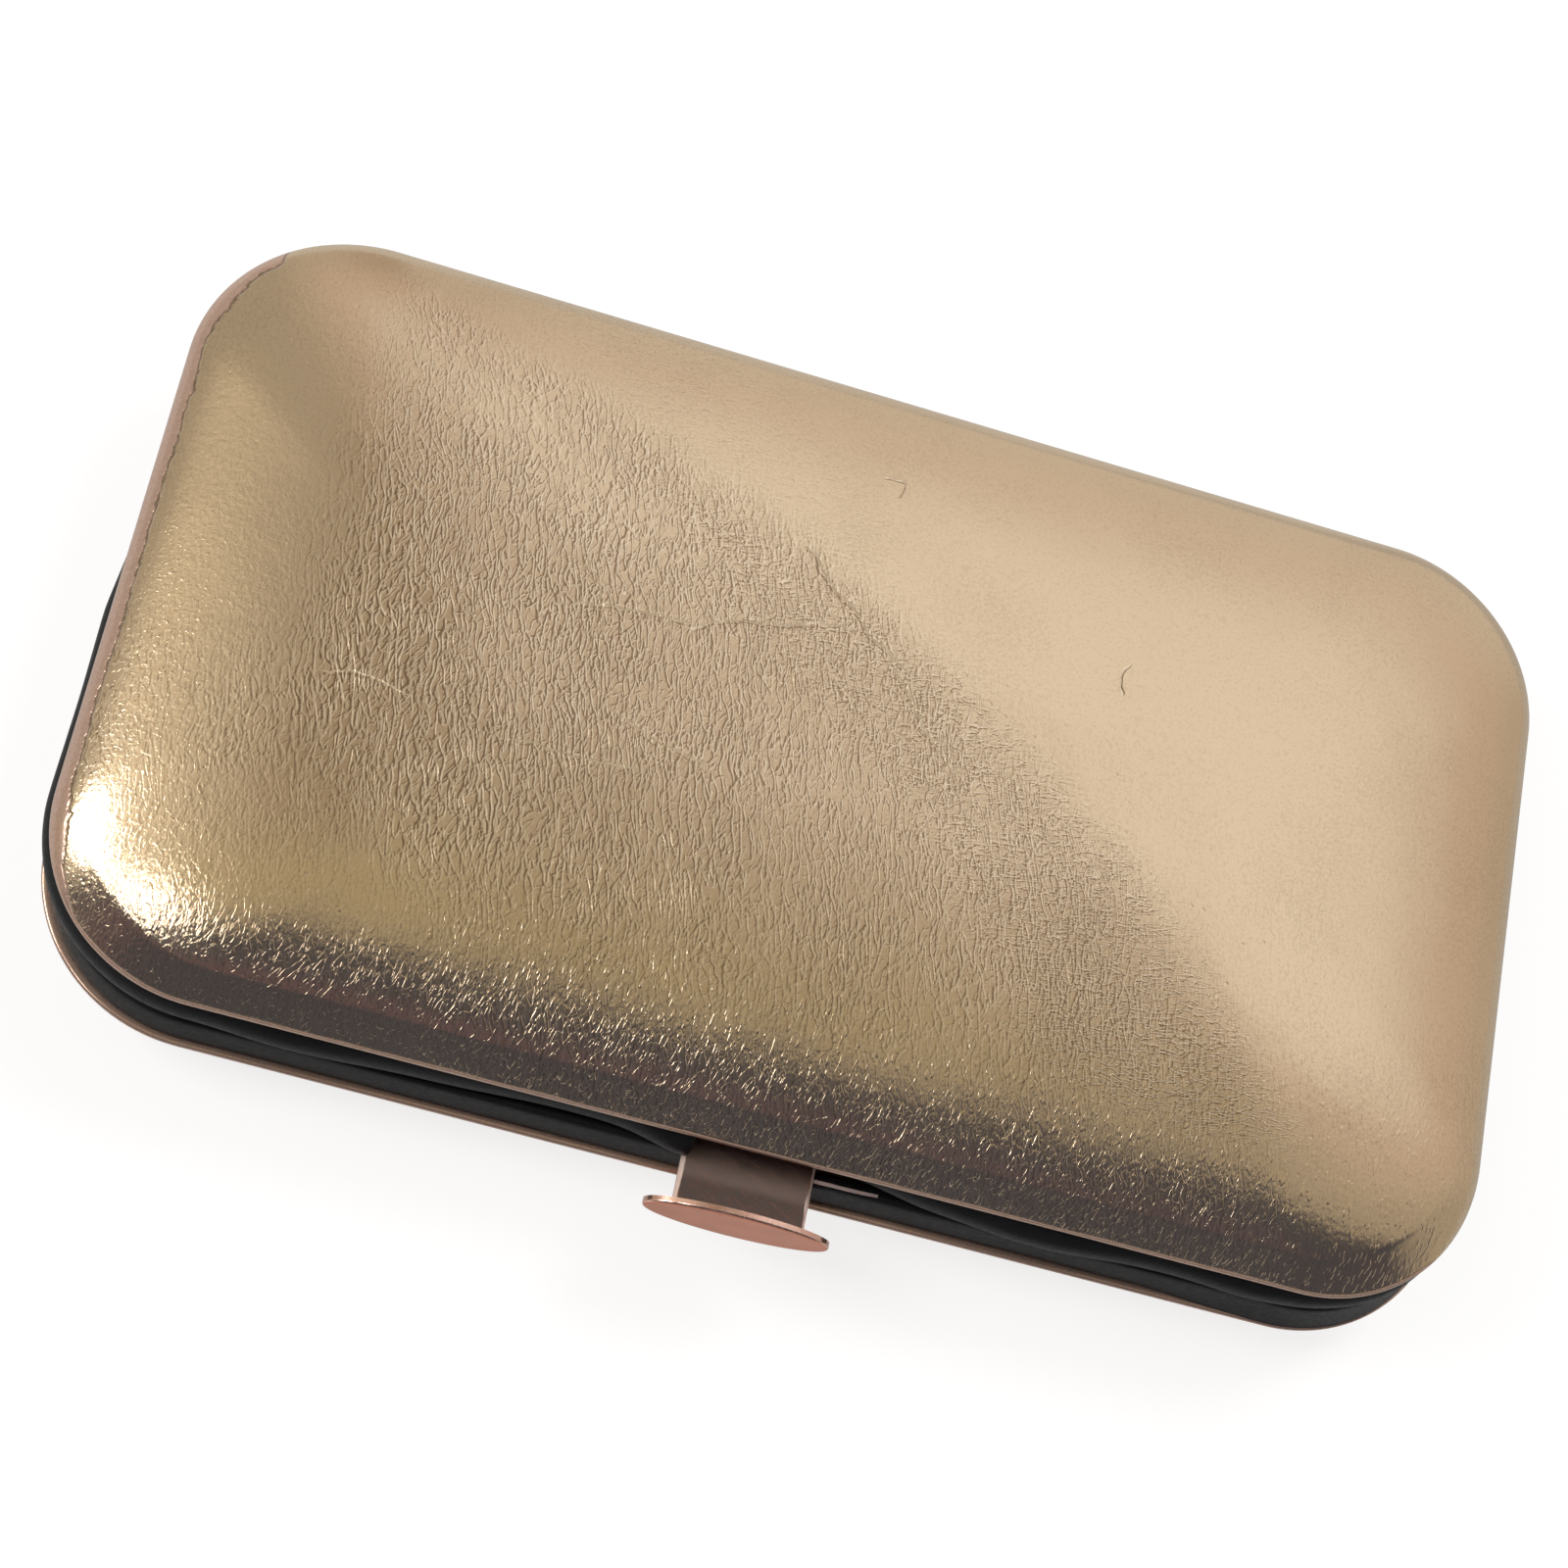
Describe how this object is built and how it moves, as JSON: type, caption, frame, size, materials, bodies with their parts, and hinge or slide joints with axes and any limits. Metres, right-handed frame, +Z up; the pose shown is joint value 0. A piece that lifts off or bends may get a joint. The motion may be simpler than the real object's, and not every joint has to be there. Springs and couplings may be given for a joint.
{
  "type": "manicure set case",
  "caption": "Hard domed case covered in gold leather, opening on a rear hinge, with a push-button slide latch and banded manicure tools inside.",
  "frame": {"origin": "centre of the flat that the closed case rests on, under the middle of the base's rim", "axes": "+X along the case's length, -Y towards the latch and the person opening it, +Z up"},
  "size_m": [0.1416, 0.0879, 0.0231],
  "materials": {
    "gold_leather": "pale gold metallic coated leather, finely wrinkled",
    "shell_plastic": "moulded, matte",
    "black_lip": "soft black coated cloth",
    "frame_metal": "rose-gold plated strip",
    "tray_velvet": "black flocked velvet over foam",
    "lining_cloth": "black flocked lining",
    "hinge_metal": "rose-gold plated, satin",
    "clasp_metal": "polished rose-gold plate",
    "latch_steel": "plain pressed steel",
    "spring_steel": "drawn wire",
    "tool_steel": "polished, plated",
    "handle_plastic": "glossy black",
    "elastic": "woven black elastic"
  },
  "bodies": {
    "base": {"base_leather": "gold_leather", "base_shell": "shell_plastic", "base_lip": "black_lip", "base_frame": "frame_metal", "base_tray": "tray_velvet", "base_lining": "lining_cloth", "base_hinge_leaf": "hinge_metal", "hinge_pin": "hinge_metal", "base_hinge_rivets": "hinge_metal", "latch_guide": "latch_steel", "latch_guide_rivets": "latch_steel", "latch_springs": "spring_steel", "clipper_lower_blade": "tool_steel", "clipper_upper_blade": "tool_steel", "clipper_lever": "tool_steel", "clipper_post": "tool_steel", "scissor_lower_half": "tool_steel", "scissor_upper_half": "tool_steel", "scissor_screw": "tool_steel", "scissor_band": "elastic", "clipper_band": "elastic"},
    "lid": {"lid_leather": "gold_leather", "lid_shell": "shell_plastic", "lid_frame": "frame_metal", "lid_lip": "black_lip", "lid_lining": "lining_cloth", "lid_tray": "tray_velvet", "lid_hinge_leaf": "hinge_metal", "lid_hinge_rivets": "hinge_metal", "lid_catch": "latch_steel", "lid_catch_rivets": "latch_steel", "lid_band_left": "elastic", "lid_band_right": "elastic", "tweezer_upper_arm": "tool_steel", "tweezer_lower_arm": "tool_steel", "file_blade": "tool_steel", "file_handle": "handle_plastic", "cuticle_pusher": "tool_steel", "ear_pick": "tool_steel"},
    "latch": {"latch_slide": "clasp_metal", "push_button": "clasp_metal"}
  },
  "joints": [
    {"name": "lid_hinge", "type": "hinge", "parent": "base", "child": "lid", "pos_m": [0, 0.0417, 0.01139], "axis": [-1, 0, 0], "range_deg": [0, 120]},
    {"name": "latch_push", "type": "slide", "parent": "base", "child": "latch", "axis": [0, 1, 0], "range_m": [0, 0.0025], "stiffness_N_per_m": 600, "deforming": ["latch_springs"]}
  ]
}
